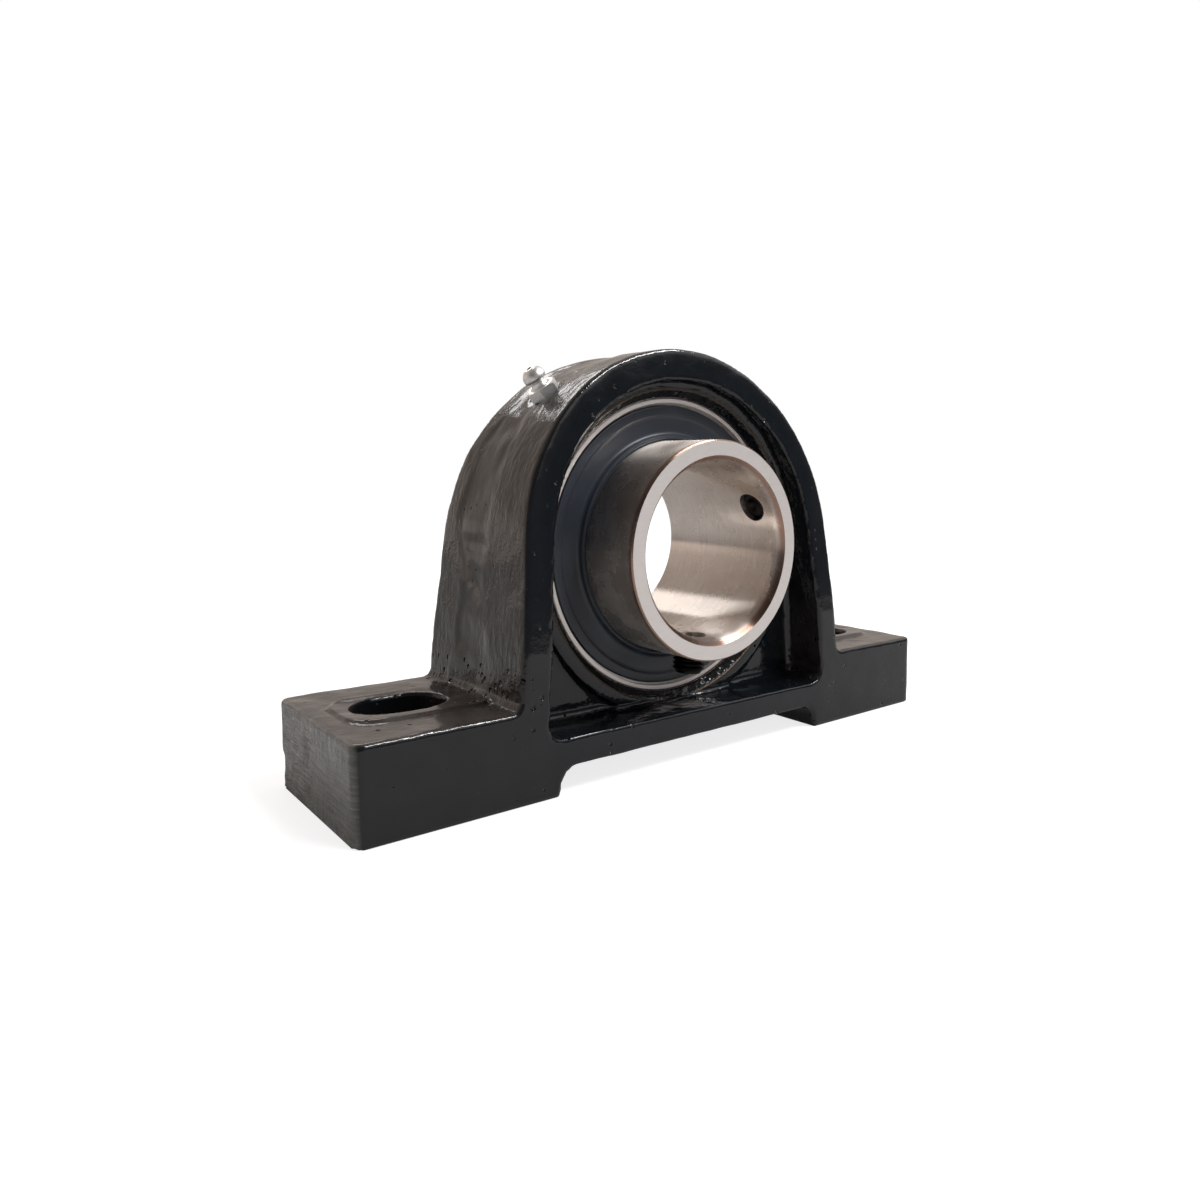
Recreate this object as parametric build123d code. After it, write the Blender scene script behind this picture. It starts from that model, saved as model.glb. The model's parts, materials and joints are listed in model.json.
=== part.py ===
from build123d import *
from math import cos, radians, sin, sqrt, tan
import os

# Pillow block bearing: a cast iron housing on two slotted feet holds a ball bearing insert whose
# outer ring is ground to a sphere, so that the insert lines itself up with a 50 mm shaft.
# Frame: millimetres, +X along the base, +Z up, the shaft along Y, its set screws towards -Y.
# Origin: bottom of the base, midway between the feet, under the middle of the spherical seat.

# Base and feet
base_length = 206.0
base_width = 54.0
foot_height = 24.0
foot_draft = 1.2            # degrees, front and back faces of the base
end_corner_radius = 3.0
foot_length = 53.0          # ground pad under each foot, along X
relief_height = 7.4         # hollow under the middle of the base
relief_slope = 1.4          # how far its end walls lean over their height
relief_radius = 5.5
bolt_spacing = 162.0
slot_length = 24.0
slot_width = 18.0
pad_rise = 0.8              # raised face round each slot
pad_margin = 4.0
pad_corner_radius = 8.0
pad_end = 97.0

# Arched head
shaft_height = 61.5
seat_wall = 12.0            # metal from the insert's sphere out to the arch
side_flare = 5.5            # degrees, sides spread towards the base
lean_height = 38.0          # above it the front and back faces lean in
face_lean = 6.6             # degrees
rim_wall = 8.4
rim_edge_radius = 1.1
root_radius = 2.6           # casting fillet where the head meets a foot
pocket_floor_height = 15.0
pocket_corner_radius = 4.5
pocket_taper = 1.5          # degrees
web_width = 25.0
web_fillet = 2.6
boss_radius = 49.8
boss_width = 28.6

# Spherical seat and what is cut into it
sphere_radius = 45.0
seat_clearance = 0.05
seat_width = 23.6
seat_chamfer = 2.5
notch_clearance = 0.4       # the insert goes in turned by 90 degrees through two notches
grease_band_width = 9.0
grease_band_offset = 2.8
grease_band_depth = 1.0
nipple_angle = 130.0        # degrees from +X, about the shaft's axis
nipple_flat_depth = 0.6
nipple_flat_radius = 5.4
nipple_hole_radius = 2.95
key_clearance = 0.05
key_depth = 3.2

# Outer ring
outer_ring_width = 23.0
outer_edge_break = 0.25
seal_bore_radius = 42.2
seal_bore_depth = 3.5
outer_land_radius = 38.9
ring_groove_width = 2.4     # takes grease round the ring to two cross holes
ring_groove_offset = 6.3
ring_groove_depth = 0.8
cross_hole_radius = 0.7

# Balls and cage
ball_count = 10
ball_radius = 6.35
pitch_radius = 35.0
raceway_radius = 6.6
race_clearance = 0.03
cage_play = 0.15
cage_gauge = 0.8
cage_inner_radius = 32.9
cage_outer_radius = 37.1
rivet_radius = 0.85
rivet_head_radius = 1.5
rivet_head_height = 0.55

# Inner ring
bore_radius = 25.0
collar_radius = 31.25
long_side = 32.6
short_side = 19.0
front_bore_chamfer = 2.0
front_bore_chamfer_depth = 1.6
rear_bore_chamfer = 0.6
collar_edge_break = 0.4

# Set screws
screw_radius = 4.6
screw_clearance = 0.05
screw_length = 10.0
screw_setback = 9.6         # from the ring's front face to the screws' axes
screw_recess = 1.0          # cup point below the bore's surface
screw_hex = 5.0
screw_hex_depth = 4.0
screw_edge = 0.6
screw_cup_radius = 2.6
screw_cup_depth = 1.2
screw_angles = (28.0, -95.0)

# Seals and flingers
plate_gauge = 0.6
plate_flange = 2.0
plate_inner_radius = 33.6
lip_clearance = 0.2
lip_width = 1.6
flinger_radius = 41.4
flinger_gauge = 0.7
flinger_recess = 0.5        # its outer zone lies behind the outer ring's face
flinger_rim = 1.3
flinger_dish = 0.45
flinger_crease_radius = 38.9
flinger_hub_radius = 33.4
flinger_hub_height = 1.6

# Locating pin: keeps the outer ring from turning, yet lets it tilt both ways
pin_radius = 2.0
pin_clearance = 0.03
pin_seat_depth = 2.0
pin_top_gap = 0.4

# Grease nipple
nipple_hex = 8.0
nipple_hex_height = 2.9
nipple_end_gap = 3.5        # from the shank's end to the insert's sphere
nipple_neck_radius = 2.25
nipple_neck_height = 1.6
nipple_head_radius = 3.25
nipple_head_height = 4.0
nipple_tip_radius = 1.7
nipple_duct_radius = 0.9
check_chamber_radius = 1.45
check_ball_radius = 1.35
check_travel = 0.6
check_chamber_length = 7.0
spring_wire_radius = 0.16
spring_coil_radius = 1.1
spring_turns = 5

# Sizes that follow from the ones above
arch_radius = sphere_radius + seat_wall
foot_face_y = base_width / 2 - foot_height * tan(radians(foot_draft))
head_top = shaft_height + arch_radius
lean_y = base_width / 2 - lean_height * tan(radians(foot_draft))
lean_run = (head_top - lean_height) * tan(radians(face_lean))
seat_radius = sphere_radius + seat_clearance
ring_half = outer_ring_width / 2
plate_y = ring_half - seal_bore_depth
pin_top_radius = sphere_radius + key_depth - pin_top_gap
nipple_shank_length = arch_radius - nipple_flat_depth - sphere_radius - nipple_end_gap
screw_y = screw_setback - long_side
shaft_axis = Axis((0, 0, shaft_height), (0, 1, 0))


def section(points):
    """Face through (radius, y) points, ready to be turned about the shaft's axis."""
    return make_face(Polyline([Vector(r, y, shaft_height) for r, y in points], close=True))


def turned(points):
    return revolve(section(points), shaft_axis, 360)


def ball_at(radius, angle, ball):
    """Ball centred in the plane y = 0, at a radius and an angle from +X about the shaft's axis."""
    place = Pos(radius * cos(radians(angle)), 0, shaft_height + radius * sin(radians(angle)))
    return place * Rot(90, 0, 0) * Sphere(ball)


def radial(angle, y=0.0):
    """Frame on the shaft's axis at y, whose local Z points outwards at an angle from +X."""
    out = (cos(radians(angle)), 0, sin(radians(angle)))
    return Plane(origin=(0, y, shaft_height), x_dir=(0, 1, 0), z_dir=out)


def post(angle, y, radius, inner, outer):
    """Round bar that points outwards from the shaft's axis, between two distances from it."""
    length = outer - inner
    return radial(angle, y) * Pos(0, 0, inner + length / 2) * Cylinder(radius, length)


def front_view(sketch, depth, taper=0.0):
    """Sketch in X and Z, drawn from the plane y = 0 towards the front."""
    return extrude(Plane((0, 0, 0), x_dir=(1, 0, 0), z_dir=(0, -1, 0)) * sketch, depth, taper=taper)


def side_x(radius, height):
    """Half width, at a height, of an arch whose sides flare from a half round on top."""
    flare = radians(side_flare)
    return radius / cos(flare) + (shaft_height - height) * tan(flare)


def arch_outline(radius, bottom):
    """Half round on top, sides that flare by side_flare down to a level line."""
    flare = radians(side_flare)
    tangent = Vector(radius * cos(flare), shaft_height + radius * sin(flare))
    foot = Vector(side_x(radius, bottom), bottom)
    top = ThreePointArc(tangent, (0, shaft_height + radius), (-tangent.X, tangent.Y))
    sides = Polyline((-tangent.X, tangent.Y), (-foot.X, foot.Y), (foot.X, foot.Y), (tangent.X, tangent.Y))
    return make_face([top, sides])


def base_bar():
    """Bar with drafted faces and rounded upright corners."""
    half = base_width / 2
    profile = Polyline((-half, 0), (half, 0), (foot_face_y, foot_height), (-foot_face_y, foot_height), close=True)
    bar = extrude(Plane.YZ * make_face(profile), base_length / 2, both=True)
    upright = [edge for edge in bar.edges() if edge.bounding_box().size.X < 0.01
               and edge.bounding_box().size.Z > foot_height / 2]
    return fillet(upright, end_corner_radius)


def head_block():
    """Arched outline with rounded roots, cut front and back by faces that lean in towards the top."""
    top_y = lean_y - lean_run
    profile = Polyline((-base_width / 2, 0), (base_width / 2, 0), (lean_y, lean_height),
                       (top_y, head_top), (-top_y, head_top), (-lean_y, lean_height), close=True)
    slab = extrude(Plane.YZ * make_face(profile), base_length / 2, both=True)
    reach = side_x(arch_radius, foot_height) + root_radius
    outline = arch_outline(arch_radius, 0) + Pos(0, foot_height / 2) * Rectangle(2 * reach, foot_height)
    roots = [corner for corner in outline.vertices()
             if abs(corner.Y - foot_height) < 0.01 and abs(corner.X) < reach - 0.01]
    outline = fillet(roots, root_radius)
    arch = front_view(outline, base_width / 2)
    return (arch + mirror(arch, Plane.XZ)) & slab


def outer_edges(body):
    """Edges all round the top of the feet and the head's outline, front and back."""
    return [edge for edge in body.edges() if edge.center().Z > foot_height - 0.01
            and not (abs(edge.tangent_at(0.5).Y) > 0.99 and abs(edge.center().X) < pad_end)
            and edge.length > 0.5 and not on_crease(edge)]


def on_crease(edge):
    """Level line across the front or the back, where the leaning face starts."""
    box = edge.bounding_box()
    return box.size.Z < 0.01 and box.min.X < 0 < box.max.X


def pocket():
    """Hollow in front of the web, with rounded lower corners and walls that taper inwards."""
    outline = arch_outline(arch_radius - rim_wall, pocket_floor_height)
    corners = outline.vertices().sort_by(Axis.Y)[:2]
    outline = fillet(corners, pocket_corner_radius)
    mouth = Plane((0, -base_width / 2, 0), x_dir=(-1, 0, 0), z_dir=(0, 1, 0)) * outline
    hollow = extrude(mouth, base_width / 2 - web_width / 2, taper=pocket_taper)
    return fillet(hollow.faces().sort_by(Axis.Y)[-1].edges(), web_fillet)


def foot_pad(side):
    """Raised face round a slot, from near the foot's end to inside the head."""
    width = slot_width + 2 * pad_margin
    length = pad_end - arch_radius
    pad = Rectangle(length, width)
    pad = fillet(pad.vertices().group_by(Axis.X)[-1], pad_corner_radius)
    pad = extrude(pad, foot_height / 2 + pad_rise)
    pad = fillet(pad.faces().sort_by(Axis.Z)[-1].edges(), pad_rise / 2)
    turn = 0 if side > 0 else 180
    return Pos(side * (arch_radius + length / 2), 0, foot_height / 2) * Rot(0, 0, turn) * pad


def base_relief():
    """Hollow under the middle of the base, which leaves a ground pad under each foot."""
    low = base_length / 2 - foot_length
    high = low - relief_slope
    outline = make_face(Polyline((-low, 0), (low, 0), (high, relief_height), (-high, relief_height), close=True))
    outline = fillet(outline.vertices().sort_by(Axis.Y)[-2:], relief_radius)
    half = front_view(outline, base_width)
    return half + mirror(half, Plane.XZ)


def on_seat(y, radius):
    """Point of a sphere round the origin of the seat, in the section plane."""
    return Vector(sqrt(radius ** 2 - y ** 2), y, shaft_height)


def sphere_arc(start, end, radius):
    """Arc of a spherical surface's section between two values of y."""
    return ThreePointArc(on_seat(start, radius), on_seat((start + end) / 2, radius), on_seat(end, radius))


def seat_cut():
    """Spherical seat with a chamfer at each side, and the band that carries grease round it."""
    half = seat_width / 2
    far = base_width
    wide = on_seat(half, seat_radius).X + seat_chamfer
    band_start = grease_band_offset - grease_band_width / 2
    band_end = band_start + grease_band_width
    deep = seat_radius + grease_band_depth
    front = Polyline((0, -far, shaft_height), (wide, -far, shaft_height),
                     (wide, -half - seat_chamfer, shaft_height), on_seat(-half, seat_radius))
    band = Polyline(on_seat(band_start, seat_radius), (deep, band_start + grease_band_depth, shaft_height),
                    (deep, band_end - grease_band_depth, shaft_height), on_seat(band_end, seat_radius))
    back = Polyline(on_seat(half, seat_radius), (wide, half + seat_chamfer, shaft_height),
                    (wide, far, shaft_height), (0, far, shaft_height), (0, -far, shaft_height))
    arcs = [sphere_arc(-half, band_start, seat_radius), sphere_arc(band_end, half, seat_radius)]
    return revolve(make_face([front, arcs[0], band, arcs[1], back]), shaft_axis, 360)


def loading_notches():
    """Slot from the back of the seat to its middle, as wide as the ring and as long as its diameter."""
    depth = base_width / 2
    box = Pos(0, depth / 2, shaft_height) * Box(
        2 * seat_radius, depth, outer_ring_width + 2 * notch_clearance)
    drum = turned([(0, 0), (seat_radius, 0), (seat_radius, depth), (0, depth)])
    return box & drum


def pin_keyway():
    """Groove along the top of the seat, open to the back, in which the locating pin travels."""
    half = pin_radius + key_clearance
    start = -seat_width / 4
    end = base_width / 2
    height = key_depth + seat_radius / 2
    groove = Box(2 * half, end - start - half, height) + Pos(0, -(end - start - half) / 2, 0) * Cylinder(half, height)
    return Pos(0, (start + half + end) / 2, shaft_height + sphere_radius + key_depth - height / 2) * groove


def housing():
    body = base_bar() + head_block()
    body = fillet(outer_edges(body), rim_edge_radius)
    hollow = pocket()
    body -= hollow + mirror(hollow, Plane.XZ)
    boss = turned([(0, -boss_width / 2), (boss_radius, -boss_width / 2),
                   (boss_radius, boss_width / 2), (0, boss_width / 2)])
    body += boss
    body -= base_relief()
    for side in (1, -1):
        body += foot_pad(side)
        slot = Pos(side * bolt_spacing / 2, 0, foot_height / 2) * extrude(
            SlotOverall(slot_length, slot_width), foot_height, both=True)
        body -= slot
    body -= seat_cut()
    body -= loading_notches()
    body -= pin_keyway()
    flat = arch_radius - nipple_flat_depth
    body -= post(nipple_angle, 0, nipple_flat_radius, flat, arch_radius + nipple_flat_radius)
    body -= post(nipple_angle, 0, nipple_hole_radius, sphere_radius - 1, arch_radius)
    return body


def outer_ring():
    """Spherical outside, a deep groove raceway inside and a stepped bore for the seal at each end."""
    edge = sqrt(sphere_radius ** 2 - ring_half ** 2)
    shell = turned([(outer_land_radius, -ring_half), (sphere_radius + 1, -ring_half),
                    (sphere_radius + 1, ring_half), (outer_land_radius, ring_half)])
    shell &= Pos(0, 0, shaft_height) * Sphere(sphere_radius)
    for side in (1, -1):
        far = side * (ring_half + 1)
        shell -= turned([(0, side * plate_y), (seal_bore_radius, side * plate_y), (seal_bore_radius, far), (0, far)])
        shell -= turned([(edge - outer_edge_break, side * ring_half),
                         (edge + 1, side * (ring_half - outer_edge_break - 1)), (edge + 1, far),
                         (edge - outer_edge_break, far)])
    race_bottom = pitch_radius + ball_radius + race_clearance
    shell -= raceway(race_bottom - raceway_radius)
    start = ring_groove_offset - ring_groove_width / 2
    floor = sphere_radius - ring_groove_depth
    shell -= turned([(floor, start), (sphere_radius + 1, start),
                     (sphere_radius + 1, start + ring_groove_width), (floor, start + ring_groove_width)])
    for angle in (nipple_angle, nipple_angle - 180):
        shell -= post(angle, ring_groove_offset, cross_hole_radius, outer_land_radius - 1, sphere_radius)
    return shell - post(90, 0, pin_radius + pin_clearance, sphere_radius - pin_seat_depth, sphere_radius + 1)


def raceway(centre_radius):
    """Ring of round section in which the balls run."""
    circle = Plane((centre_radius, 0, shaft_height), x_dir=(1, 0, 0), z_dir=(0, 0, 1)) * Circle(raceway_radius)
    return revolve(circle, shaft_axis, 360)


def inner_ring():
    """Ring with one long side, which carries both set screws."""
    front, back = -long_side, short_side
    blank = turned([
        (bore_radius + front_bore_chamfer, front), (collar_radius - collar_edge_break, front),
        (collar_radius, front + collar_edge_break), (collar_radius, back - collar_edge_break),
        (collar_radius - collar_edge_break, back), (bore_radius + rear_bore_chamfer, back),
        (bore_radius, back - rear_bore_chamfer), (bore_radius, front + front_bore_chamfer_depth)])
    race_bottom = pitch_radius - ball_radius - race_clearance
    blank -= raceway(race_bottom + raceway_radius)
    for angle in screw_angles:
        blank -= post(angle, screw_y, screw_radius + screw_clearance, bore_radius / 2, collar_radius + 1)
    return blank


def set_screw(angle):
    """Socket set screw with a cup point, backed out so that the bore is clear."""
    inner = bore_radius + screw_recess
    outer = inner + screw_length
    screw = post(angle, screw_y, screw_radius, inner, outer)
    screw = chamfer(screw.edges().filter_by(GeomType.CIRCLE), screw_edge)
    frame = radial(angle, screw_y)
    socket = Pos(0, 0, outer - screw_hex_depth) * extrude(
        RegularPolygon(screw_hex / 2, 6, major_radius=False), screw_hex_depth)
    cup = Pos(0, 0, inner + screw_cup_depth / 2) * Cone(screw_cup_radius, screw_cup_radius / 4, screw_cup_depth)
    return screw - frame * socket - frame * cup


def seal_plate(side):
    """Pressed steel washer whose flange grips the outer ring's stepped bore."""
    near, far = plate_y, plate_y + plate_gauge
    rim = near + plate_flange
    points = [(plate_inner_radius, near), (seal_bore_radius, near), (seal_bore_radius, rim),
              (seal_bore_radius - plate_gauge, rim), (seal_bore_radius - plate_gauge, far), (plate_inner_radius, far)]
    return turned([(r, side * y) for r, y in points])


def seal_lip(side):
    """Rubber lip bonded to the plate's inner edge, which leans out to the inner ring."""
    near, far = plate_y, plate_y + plate_gauge
    tip = collar_radius + lip_clearance
    points = [(plate_inner_radius, near), (plate_inner_radius, far), (tip + plate_gauge, far + lip_width / 3),
              (tip, far + lip_width / 3), (tip, near), (tip + lip_width / 2, near - lip_width / 4)]
    return turned([(r, side * y) for r, y in points])


def flinger(side):
    """Rubber coated steel disc pressed on the inner ring, with a rim, a dished web and a rolled hub."""
    face = ring_half - flinger_recess
    dish = face - flinger_dish
    hub = dish + flinger_hub_height
    gauge = flinger_gauge
    points = [(collar_radius, dish - gauge), (flinger_crease_radius, dish - gauge),
              (flinger_crease_radius + flinger_dish, face - gauge), (flinger_radius - gauge, face - gauge),
              (flinger_radius - gauge, face - flinger_rim), (flinger_radius, face - flinger_rim),
              (flinger_radius, face - gauge / 3), (flinger_radius - gauge / 3, face),
              (flinger_crease_radius, face), (flinger_crease_radius - flinger_dish, dish),
              (flinger_hub_radius, dish), (flinger_hub_radius - gauge, dish + gauge / 2),
              (collar_radius + gauge, hub - gauge / 3), (collar_radius + gauge * 2 / 3, hub), (collar_radius, hub)]
    return turned([(r, side * y) for r, y in points])


def cage_half(side):
    """Pressed ribbon: flats between the balls and a round pocket over each."""
    pocket_radius = ball_radius + cage_play
    reach = pocket_radius + cage_gauge
    ribbon = turned([(cage_inner_radius, 0), (cage_outer_radius, 0),
                     (cage_outer_radius, side * cage_gauge), (cage_inner_radius, side * cage_gauge)])
    band = turned([(cage_inner_radius, 0), (cage_outer_radius, 0),
                   (cage_outer_radius, side * reach), (cage_inner_radius, side * reach)])
    for index in range(ball_count):
        ribbon += ball_at(pitch_radius, ball_angle(index), reach) & band
        ribbon -= ball_at(pitch_radius, ball_angle(index), pocket_radius)
        ribbon -= rivet_post(index, rivet_radius, cage_gauge + 1)
    return ribbon


def ball_angle(index):
    return 90 + (index + 0.5) * 360 / ball_count


def rivet_post(index, radius, half_length):
    """Short bar along Y, midway between two balls."""
    angle = radians(ball_angle(index) + 180 / ball_count)
    place = Pos(pitch_radius * cos(angle), 0, shaft_height + pitch_radius * sin(angle))
    return place * Rot(90, 0, 0) * Cylinder(radius, 2 * half_length)


def cage_rivets():
    """Ten rivets that hold the two ribbons together, one solid each."""
    half = cage_gauge + rivet_head_height
    rivets = []
    for index in range(ball_count):
        shank = rivet_post(index, rivet_radius, half)
        heads = rivet_post(index, rivet_head_radius, half) - rivet_post(index, rivet_head_radius, cage_gauge)
        rivets.append(shank + heads)
    return Compound(rivets)


def locating_pin():
    """Short domed pin: its foot turns in the outer ring, its head travels in the seat's groove."""
    pin = post(90, 0, pin_radius, sphere_radius - pin_seat_depth, pin_top_radius)
    return fillet(pin.edges().filter_by(GeomType.CIRCLE).sort_by(Axis.Z)[-1], pin_radius / 3)


def nipple_frame():
    """Frame on the nipple's flat, local Z outwards."""
    return radial(nipple_angle) * Pos(0, 0, arch_radius - nipple_flat_depth)


def nipple_body():
    """Threaded shank, hexagon, neck and ball shaped head with a duct and a chamber for its valve."""
    hexagon = extrude(RegularPolygon(nipple_hex / 2, 6, major_radius=False), nipple_hex_height)
    round_off = Pos(0, 0, nipple_hex_height / 2) * Cylinder(nipple_hex / sqrt(3), nipple_hex_height)
    hexagon &= chamfer(round_off.edges().filter_by(GeomType.CIRCLE).sort_by(Axis.Z)[-1], nipple_hex / 12)
    neck_top = nipple_hex_height + nipple_neck_height
    head_top_z = neck_top + nipple_head_height
    wide_low, wide_high = neck_top + 0.3 * nipple_head_height, neck_top + 0.5 * nipple_head_height
    head = revolve(Plane.XZ * make_face(Polyline([
        (0, 0), (nipple_head_radius, 0), (nipple_head_radius, nipple_hex_height),
        (nipple_neck_radius, nipple_hex_height + nipple_neck_height / 2), (nipple_neck_radius, neck_top),
        (nipple_head_radius, wide_low), (nipple_head_radius, wide_high), (nipple_tip_radius, head_top_z),
        (0, head_top_z)], close=True)), Axis.Z, 360)
    shank = Pos(0, 0, -nipple_shank_length / 2) * Cylinder(nipple_hole_radius, nipple_shank_length)
    body = hexagon + head + shank
    mouth = head_top_z - check_ball_radius
    body -= Pos(0, 0, head_top_z / 2) * Cylinder(nipple_duct_radius, head_top_z)
    body -= Pos(0, 0, mouth - check_ball_radius - check_chamber_length / 2) * Cylinder(
        check_chamber_radius, check_chamber_length)
    body -= Pos(0, 0, mouth - check_ball_radius) * Sphere(check_chamber_radius)
    low = mouth - check_ball_radius - check_chamber_length
    body -= Pos(0, 0, (low - nipple_shank_length) / 2) * Cylinder(nipple_duct_radius, low + nipple_shank_length)
    return nipple_frame() * body


def check_ball_height():
    """Height of the resting check ball's centre above the nipple's flat."""
    return nipple_hex_height + nipple_neck_height + nipple_head_height - 2 * check_ball_radius


def check_ball():
    return nipple_frame() * Pos(0, 0, check_ball_height()) * Sphere(check_ball_radius)


def check_spring():
    """Coil under the check ball. Its lower end keeps the ball's travel free below it."""
    top = check_ball_height() - check_ball_radius
    length = check_chamber_length - check_ball_radius - check_travel - 3 * spring_wire_radius
    coil = Helix(length / spring_turns, length, spring_coil_radius)
    wire = Plane(origin=coil @ 0, z_dir=coil % 0) * Circle(spring_wire_radius)
    spring = sweep(wire, path=coil, is_frenet=True)
    return nipple_frame() * Pos(0, 0, top - length - spring_wire_radius) * spring


parts = {
    "housing": housing(),
    "nipple_body": nipple_body(),
    "nipple_ball": check_ball(),
    "nipple_spring": check_spring(),
    "locating_pin": locating_pin(),
    "outer_ring": outer_ring(),
    "front_seal_plate": seal_plate(-1),
    "rear_seal_plate": seal_plate(1),
    "front_seal_lip": seal_lip(-1),
    "rear_seal_lip": seal_lip(1),
    "inner_ring": inner_ring(),
    "front_flinger": flinger(-1),
    "rear_flinger": flinger(1),
    "set_screw_a": set_screw(screw_angles[0]),
    "set_screw_b": set_screw(screw_angles[1]),
    "cage_front": cage_half(-1),
    "cage_rear": cage_half(1),
    "cage_rivets": cage_rivets(),
}
for number in range(ball_count):
    parts[f"ball_{number + 1:02d}"] = ball_at(pitch_radius, ball_angle(number), ball_radius)

os.makedirs("parts", exist_ok=True)
for name, solid in parts.items():
    export_step(solid, f"parts/{name}.step")
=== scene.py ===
"""Looks of a pillow block bearing: an enamelled cast iron housing on two slotted feet, with a ground steel
bearing insert, a zinc plated grease nipple and two black set screws.

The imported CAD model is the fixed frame. Sizes are in millimetres and become metres through MM. The sections
follow the bearing as it is put together, from the casting to the set screws, then comes the studio."""
import json
import math

import bpy
from mathutils import Matrix, Vector, noise

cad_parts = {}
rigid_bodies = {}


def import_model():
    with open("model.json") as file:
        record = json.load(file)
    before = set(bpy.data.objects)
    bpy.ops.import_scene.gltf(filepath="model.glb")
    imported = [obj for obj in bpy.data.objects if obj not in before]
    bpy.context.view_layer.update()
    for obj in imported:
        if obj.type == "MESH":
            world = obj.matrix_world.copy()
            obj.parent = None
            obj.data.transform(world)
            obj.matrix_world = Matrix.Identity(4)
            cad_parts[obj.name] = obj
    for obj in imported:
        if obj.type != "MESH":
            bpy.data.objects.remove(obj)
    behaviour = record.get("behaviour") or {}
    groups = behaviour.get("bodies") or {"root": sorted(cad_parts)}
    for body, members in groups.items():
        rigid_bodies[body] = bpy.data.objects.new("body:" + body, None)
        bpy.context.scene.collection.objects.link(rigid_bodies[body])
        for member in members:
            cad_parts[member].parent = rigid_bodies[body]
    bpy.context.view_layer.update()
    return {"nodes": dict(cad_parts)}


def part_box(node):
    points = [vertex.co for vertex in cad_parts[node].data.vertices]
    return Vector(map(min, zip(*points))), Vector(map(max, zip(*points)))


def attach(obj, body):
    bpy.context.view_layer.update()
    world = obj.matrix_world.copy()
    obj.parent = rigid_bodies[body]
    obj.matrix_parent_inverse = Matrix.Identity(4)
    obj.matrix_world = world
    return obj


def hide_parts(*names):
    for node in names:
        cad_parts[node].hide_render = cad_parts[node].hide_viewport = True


bpy.ops.object.select_all(action="SELECT")
bpy.ops.object.delete()
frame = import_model()
nodes = frame["nodes"]
MM = 0.001

# Housing
# One grey iron sand casting. Its skin is a little uneven, its edges are rounded by the mould, and the flash
# round the parting line has been ground off by hand. It is dipped in black gloss enamel.
SHAFT_HEIGHT = 61.5
FOOT_TOP = 24.0
FOOT_END = 100.0            # skin further out than this along X is on the feet's ends
OUTSIDE = (52.0, 54.0)      # from the axis: the arch's outside starts between these
UNDERSIDE = 0.4             # the skin stays flat below this height
SKIN_MESH = 0.88            # edge length of the skin's mesh
SKIN_SWELL = 0.24           # height of the skin's swells, and the distance between them
SKIN_SWELL_LENGTH = 8.0
SKIN_RIPPLE = 0.06
SKIN_RIPPLE_LENGTH = 2.8
SKIN_ON_FACES = 0.45        # share of both that is left on the front and back
GROUND_DEPTH = 0.5          # ground off along the parting line, between two wandering edges
GROUND_EDGES = (-2.5, 12.0)
DISH_DEPTH = 0.5            # hollows ground just above the feet
DISH_RADIUS = 12.0
DISH_PLACE = (33.0, 1.0)    # z and y of their middle
END_DEPTH = 0.5             # ground off the feet's ends in flats, behind the parting line
BORED_RADIUS = 47.5         # the seat inside this radius is left as bored
BORED_HALF_WIDTH = 14.6


def only(piece):
    """Makes a piece the one that operators act on."""
    bpy.ops.object.select_all(action="DESELECT")
    piece.select_set(True)
    bpy.context.view_layer.objects.active = piece


def finish_with(piece, kind, **settings):
    """Adds a modifier with its settings and applies it."""
    modifier = piece.modifiers.new(kind.title(), kind)
    for name, value in settings.items():
        setattr(modifier, name, value)
    only(piece)
    bpy.ops.object.modifier_apply(modifier=modifier.name)


def step_up(low, high, value):
    """0 below low, 1 above high and smooth between them."""
    share = min(max((value - low) / (high - low), 0.0), 1.0)
    return share * share * (3 - 2 * share)


def skin_height(place, normal):
    """How far the cast skin stands out at a place, in millimetres."""
    from_axis = math.hypot(place.x, place.z - SHAFT_HEIGHT)
    if place.z < UNDERSIDE or from_axis < BORED_RADIUS and abs(place.y) < BORED_HALF_WIDTH:
        return 0.0
    height = SKIN_SWELL * noise.noise(place / SKIN_SWELL_LENGTH)
    height += SKIN_RIPPLE * noise.noise(place / SKIN_RIPPLE_LENGTH + Vector((7, 3, 5)))
    if abs(normal.y) > 0.8:
        height *= SKIN_ON_FACES
    on_side = step_up(0.6, 0.9, math.hypot(normal.x, normal.z)) * step_up(*OUTSIDE, from_axis)
    round_it = Vector((place.x, 0, place.z))
    if on_side > 0 and place.z > FOOT_TOP:
        low = GROUND_EDGES[0] + 5.0 * noise.noise(round_it / 13 + Vector((1, 2, 9)))
        high = GROUND_EDGES[1] + 6.0 * noise.noise(round_it / 16 + Vector((5, 8, 2)))
        inside = step_up(low - 2.2, low + 2.2, place.y) * (1 - step_up(high - 1.6, high + 1.6, place.y))
        cut = GROUND_DEPTH * inside * (0.8 + 1.1 * noise.noise(round_it / 9))
        facets = Vector((place.x / 11, place.y / 5.5, place.z / 11))
        cut += 0.3 * GROUND_DEPTH * inside * noise.noise(facets + Vector((0.4, 0.2, 0.7)))
        from_dish = Vector((place.z - DISH_PLACE[0], place.y - DISH_PLACE[1])).length / DISH_RADIUS
        cut += DISH_DEPTH * (1 - step_up(0.2, 1.0, from_dish))
        height -= on_side * cut
    if abs(normal.x) > 0.9 and abs(place.x) > FOOT_END and place.y > 0:
        flats = 0.5 + noise.noise(Vector((place.y / 7, place.z / 3.5, 4)))
        height -= END_DEPTH * step_up(0, 5, place.y) * flats
    return height


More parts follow.
